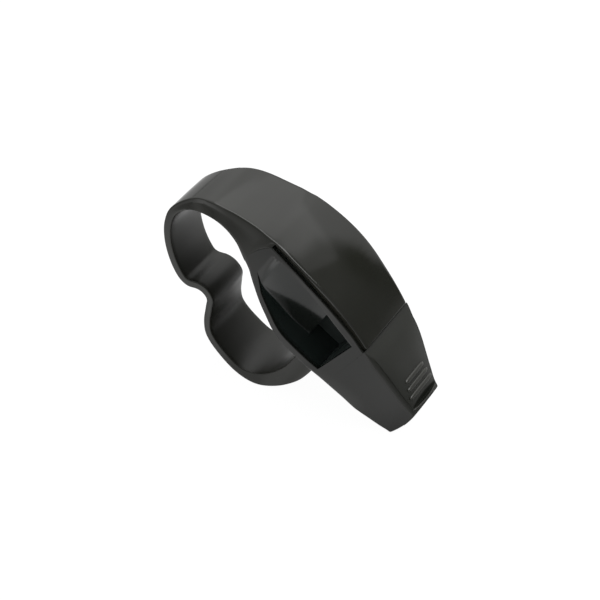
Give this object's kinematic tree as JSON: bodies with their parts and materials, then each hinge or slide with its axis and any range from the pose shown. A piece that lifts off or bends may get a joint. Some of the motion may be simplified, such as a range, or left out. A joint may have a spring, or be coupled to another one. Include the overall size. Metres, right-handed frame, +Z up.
{
  "type": "sports whistle",
  "caption": "Pealess sports whistle: a black moulded body with side windows and a ribbed mouthpiece, held in a band that forms a two-finger loop and the top cover.",
  "frame": {"origin": "centre of the box at the base, on the surface that the whistle stands on", "axes": "+Z up, +X towards the mouthpiece, +Y to the left of someone looking along +X. The whistle stands on the lower lobe of its loop and on the lower edge of its tip, so the mouthpiece points down and forward."},
  "size_m": [0.081, 0.0302, 0.053],
  "materials": {
    "band": "semi-gloss black",
    "shell": "gloss black",
    "roof": "plain moulded black",
    "divider": "plain moulded black",
    "core": "plain moulded black",
    "left_block": "plain moulded black",
    "right_block": "plain moulded black",
    "left_plug": "plain moulded black",
    "right_plug": "plain moulded black"
  },
  "bodies": {
    "root": {"grip_band": "band", "body_shell": "shell", "chamber_roof": "roof", "centre_divider": "divider", "windway_core": "core", "left_windway_block": "left_block", "right_windway_block": "right_block", "left_tuning_plug": "left_plug", "right_tuning_plug": "right_plug"}
  },
  "joints": []
}
